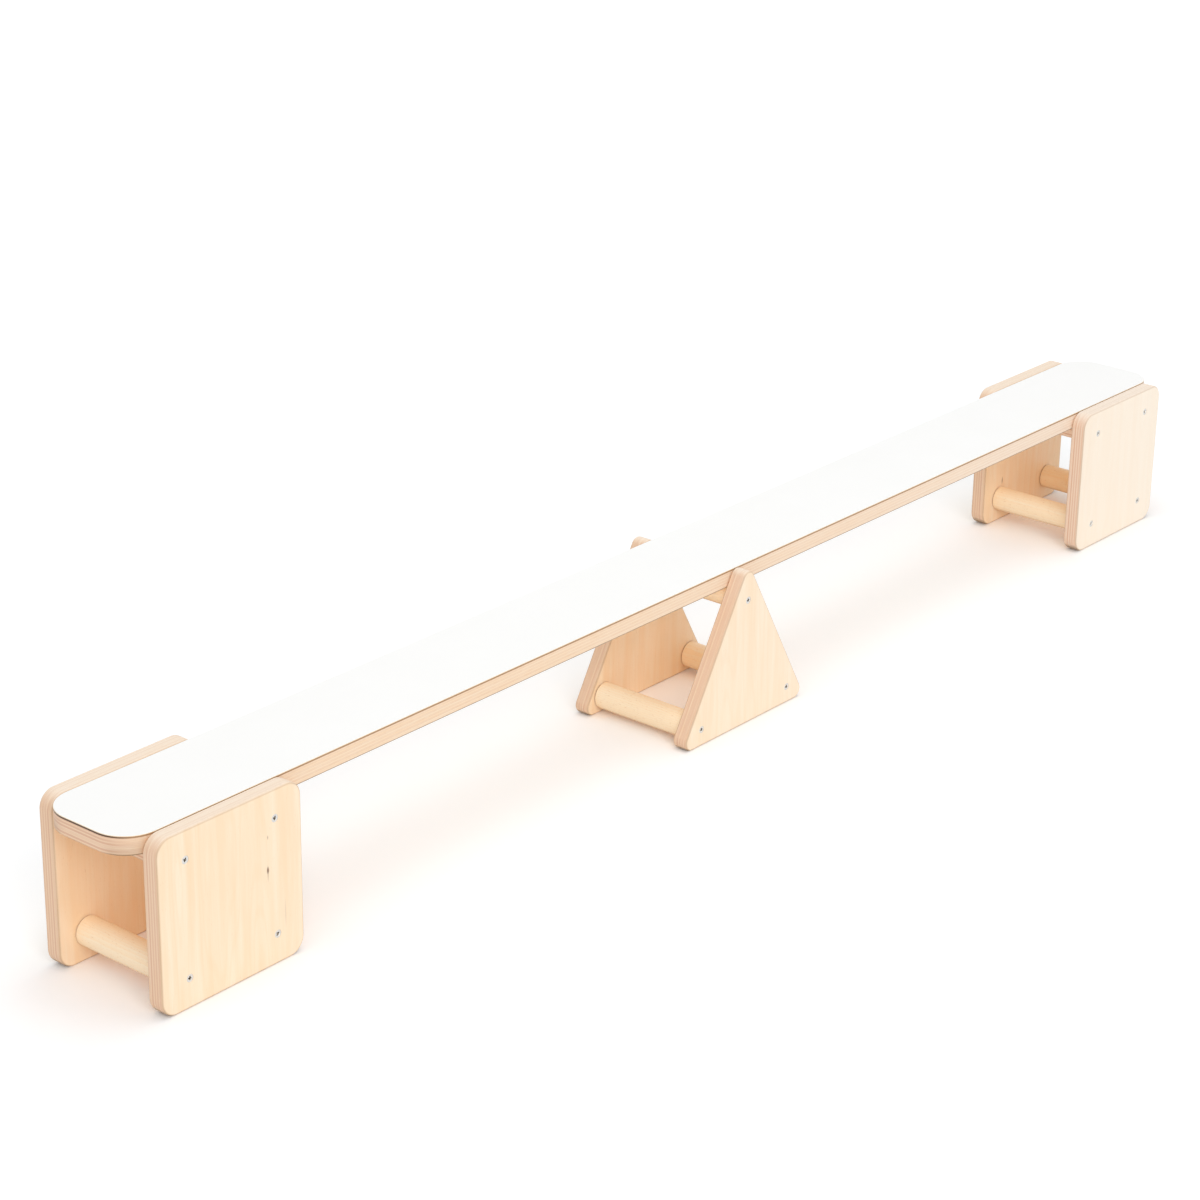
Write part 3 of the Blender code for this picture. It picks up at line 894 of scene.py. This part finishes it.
# %% The plates of each stand
SQUARE_CORNER = 20 * MM
TRIANGLE_CORNER = 11.5 * MM
PLATE_EDGE, PLATE_EDGE_STEPS = 2.5 * MM, 5
DRILL_LENGTH = 3  # times the plate's thickness, half of it on either side of the head's face
LAY_UPRIGHT = Matrix.Rotation(math.pi / 2, 4, "X")  # turns a sheet drawn flat, so that its Y points up


def plate_outline(stand, low, high):
    """A square, or a triangle of equal sides, its sharp tip one corner radius above the round one."""
    if stand != "middle_stand":
        return rounded(rectangle(low.x, low.z, high.x, high.z), SQUARE_CORNER)
    middle = (low.x + high.x) / 2
    tip = high.z + TRIANGLE_CORNER
    half = (tip - low.z) / math.sqrt(3)
    corners = [Vector(corner) for corner in ((middle - half, low.z), (middle + half, low.z), (middle, tip))]
    return rounded(corners, TRIANGLE_CORNER)


for stand in stands:
    for side in ("near", "far"):
        node = f"{stand}_{side}_plate"
        low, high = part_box(node)
        outline = plate_outline(stand, low, high)
        blank = sheet_blank(outline, -high.y, -low.y, PLATE_EDGE, PLATE_EDGE_STEPS, ("bottom", "top"))
        blank.transform(LAY_UPRIGHT)
        panel = add_object(f"{node}_blank", mesh_of(blank, f"{node}_blank", plate_birch))
        points = add_object(f"{node}_points", screw_points(stand, side))
        add_tree(panel, drilling, {
            "Screw Points": points, "Hole Diameter": HOLE_DIAMETER, "Seat Diameter": SEAT_DIAMETER,
            "Seat Depth": SEAT_DEPTH, "Hole Depth": DRILL_LENGTH * (high.y - low.y),
            "Material": plate_birch})
        finish_piece(f"{node}_panel", baked(panel), stand, [node])
        bpy.data.objects.remove(points)

# %% [markdown]
# ## The dowels and shelves
#
# A dowel is a round rod with a small chamfer at each end and a pilot hole for its screw. Spinning half of
# its section round the axis makes all of that at once. The shelves of the end stands are plain strips of
# plywood, whose solids have the right shape already, so they only get the finish.

# %% Dowels
DOWEL_SIDES = 72
DOWEL_CHAMFER = 1 * MM
PILOT_DEPTH = 40 * MM


def dowel_shape(low, high):
    """A rod along Y between two corners of its box, with chamfered and drilled ends."""
    radius = (high.x - low.x) / 2
    half = (high.y - low.y) / 2
    bore = HOLE_DIAMETER / 2
    end = [(0, half - PILOT_DEPTH), (bore, half - PILOT_DEPTH), (bore, half),
           (radius - DOWEL_CHAMFER, half), (radius, half - DOWEL_CHAMFER)]
    section = end + [(out, -along) for out, along in reversed(end)]
    shape = bmesh.new()
    points = [shape.verts.new((out, along, 0)) for out, along in section]
    lines = [shape.edges.new(pair) for pair in zip(points, points[1:])]
    bmesh.ops.spin(shape, geom=points + lines, cent=(0, 0, 0), axis=(0, 1, 0), angle=math.tau,
                   steps=DOWEL_SIDES)
    bmesh.ops.remove_doubles(shape, verts=shape.verts, dist=MERGE_DISTANCE)
    bmesh.ops.recalc_face_normals(shape, faces=shape.faces)
    bmesh.ops.translate(shape, verts=shape.verts, vec=(low + high) / 2)
    return shape


for stand in stands:
    for node in [node for node in body_nodes[stand] if "_dowel_" in node and "screw" not in node]:
        rod = mesh_of(dowel_shape(*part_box(node)), f"{node}_rod", beech)
        finish_piece(f"{node}_rod", rod, stand, [node])

# %% Shelves
for node in ("left_stand_shelf", "right_stand_shelf"):
    shelf = frame["nodes"][node]
    shelf.data.materials.clear()
    shelf.data.materials.append(shelf_birch)
    print(node, "is finished in", shelf_birch.name)

# %% [markdown]
# ## The board
#
# The plank and its laminate have one outline, a long strip with rounded corners. The plank's lower edge is
# rounded for small hands. The laminate has a fine bevel, cut with a file after gluing. Its dark edge is
# drawn a little deeper than it is, at the cost of the plank, so that it shows in a render.

# %% Plank and laminate
BOARD_CORNER = 42 * MM
PLANK_EDGE, PLANK_EDGE_STEPS = 2 * MM, 4
BEVEL_STEPS = 2
DARK_LINE_EXTRA = 1.0 * MM
SEAM_GAP = 0.01 * MM  # keeps the faces of plank and laminate from lying in each other

board_outline = rounded(rectangle(board_low.x, board_low.y, board_high.x, board_high.y), BOARD_CORNER)
seam = board_high.z - DARK_LINE_EXTRA
plank = sheet_blank(board_outline, board_low.z, seam, PLANK_EDGE, PLANK_EDGE_STEPS, ("bottom",))
plank = mesh_of(plank, "beam_plank", board_birch)
finish_piece("beam_plank", plank, "board", ["beam_board"])
skin = sheet_blank(board_outline, seam + SEAM_GAP, top_height, LAMINATE_BEVEL, BEVEL_STEPS, ("top",))
skin = mesh_of(skin, "beam_white_top", laminate)
finish_piece("beam_white_top", skin, "board", ["beam_top_laminate"])

# %% [markdown]
# ## The floor
#
# The beam stands on white studio paper, which a photographer lights until it is pure white. So for what
# the camera sees, a faint glow is added to the paper's own shading: open paper reaches white, and only the
# soft shadows under the board and round the stands stay below it. Ambient occlusion fades the glow where
# something stands close over the paper, so the feet keep their dark, warm shadows. Far away the glow is
# full, so the paper's rim can't be told from the background. Light that bounces meets the plain paper, so
# the glow adds no light to the beam.

# %% White paper
PAPER_WHITE = linear("FAF8F5")
PAPER_GLOW, FAR_GLOW = linear("646F7A"), linear("FFFFFF")
SHADE_REACH = 100 * MM  # what stands further from the paper than this takes nothing from the glow
FADE_START, FADE_END = 1.4, 3.0  # metres from the middle of the floor
FLOOR_RADIUS, FLOOR_SIDES = 6.0, 96


def seen_directly(tree):
    """1 for what the camera sees, also in a reflection or through glass, and 0 for bounced light."""
    path = add_node(tree, "LightPath")
    seen = path["Is Camera Ray"]
    for ray in ("Is Glossy Ray", "Is Transmission Ray"):
        seen = add_node(tree, "Math", {0: seen, 1: path[ray]}, operation="MAXIMUM")[0]
    return seen


def white_paper():
    """Matt white paper that looks evenly lit."""
    material, tree, spot = new_material("white studio paper")
    matt = add_node(tree, "BsdfDiffuse", {"Color": PAPER_WHITE})[0]
    away = add_node(tree, "VectorMath", {0: spot}, operation="LENGTH")["Value"]
    far = add_node(tree, "MapRange", {0: away, 1: FADE_START, 2: FADE_END})[0]
    clear = add_node(tree, "AmbientOcclusion", {"Distance": SHADE_REACH}, samples=1)["AO"]
    strength = add_node(tree, "Math", {0: seen_directly(tree), 1: clear}, operation="MULTIPLY")[0]
    glow = add_node(tree, "Emission", {
        "Color": layered(tree, PAPER_GLOW, [(far, FAR_GLOW)]), "Strength": strength})[0]
    paper = add_node(tree, "AddShader", {0: matt, 1: glow})[0]
    add_node(tree, "OutputMaterial", {"Surface": paper})
    return material


disc = bmesh.new()
bmesh.ops.create_circle(disc, cap_ends=True, radius=FLOOR_RADIUS, segments=FLOOR_SIDES)
floor = add_object("studio_floor", mesh_of(disc, "studio_floor", white_paper()))
floor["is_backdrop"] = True
print("floor of", 2 * FLOOR_RADIUS, "m")

# %% [markdown]
# ## Light
#
# The beam is lit as in a white studio: light comes from all round, a large soft lamp hangs above it, and a
# wide panel stands high to the left of the camera. The panel lights the front faces and shines in at the
# open left ends of the stands, where it reaches the floor and the low part of the far plates. All of the
# light is white and at a plain level, so that a colour shows about as it is written. The camera sees the
# surroundings as pure white. Pale wood passes most of its light on, so light that comes in between the
# plates is thrown from face to face many times and turns warm. That takes more bounces than the usual four.

# %% World and lamps
AMBIENT_LIGHT, SEEN_LIGHT = 0.70, 1.0  # strength of the surroundings as light, and as the camera sees them
WOOD_BOUNCES = 16
SOFTBOXES = {  # the place, the point it is turned to, width and height, all in metres, and watts
    "overhead_softbox": ((0.3, -0.2, 3.6), (0.1, 0.0, 0.1), (2.4, 1.6), 22),
    "front_panel": ((-4.6, -6.3, 5.0), (0.0, 0.0, 0.1), (5.0, 3.5), 245),
}


def white_world():
    """Even white light all round, seen as pure white."""
    world = bpy.data.worlds.new("white studio")
    world.use_nodes = True
    tree = world.node_tree
    tree.nodes.clear()
    strength = add_node(tree, "Mix", {
        0: seen_directly(tree), NUMBER_A: AMBIENT_LIGHT, NUMBER_B: SEEN_LIGHT})[0]
    background = add_node(tree, "Background", {"Color": linear("FFFFFF"), "Strength": strength})[0]
    add_node(tree, "OutputWorld", {"Surface": background})
    return world


scene = bpy.context.scene
scene.world = white_world()
for name, (place, aim, sides, watts) in SOFTBOXES.items():
    lamp = bpy.data.lights.new(name, "AREA")
    lamp.shape = "RECTANGLE"
    lamp.size, lamp.size_y = sides
    lamp.energy = watts
    softbox = add_object(name, lamp)
    softbox.location = place
    softbox.rotation_euler = (Vector(aim) - Vector(place)).to_track_quat("-Z", "Y").to_euler()
    print(name, "of", watts, "W")
scene.view_settings.view_transform = "Standard"
scene.cycles.diffuse_bounces = WOOD_BOUNCES
scene.cycles.max_bounces = WOOD_BOUNCES

# %% [markdown]
# ## Camera
#
# The photograph looks down along the beam from its left front corner, from a few metres away. The place,
# the aim, the lens and the slight roll were fitted to the screws and edges that it shows.

# %% Camera
CAMERA_PLACE = Vector((-2.857, -2.2158, 1.6335))
CAMERA_AIM = Vector((0.004, 0.1507, 0.100))
CAMERA_ROLL = math.radians(0.853)
CAMERA_LENS, CAMERA_SENSOR = 93.94, 36  # in mm

camera = bpy.data.cameras.new("photo_camera")
camera.lens = CAMERA_LENS
camera.sensor_width = CAMERA_SENSOR
camera_object = add_object("photo_camera", camera)
camera_object.location = CAMERA_PLACE
camera_object.rotation_mode = "QUATERNION"
aimed = (CAMERA_AIM - CAMERA_PLACE).to_track_quat("-Z", "Y")
camera_object.rotation_quaternion = aimed @ Quaternion((0, 0, 1), CAMERA_ROLL)
scene.camera = camera_object
print("camera", round((CAMERA_AIM - CAMERA_PLACE).length, 2), "m from its aim")

# %% [markdown]
# ## The dressed size
#
# The dressed beam has to keep the size of its frame, so its size is measured and printed.

# %% Sizes and finish
low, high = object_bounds()
print("dressed size in mm:", [round(side / MM, 1) for side in high - low])
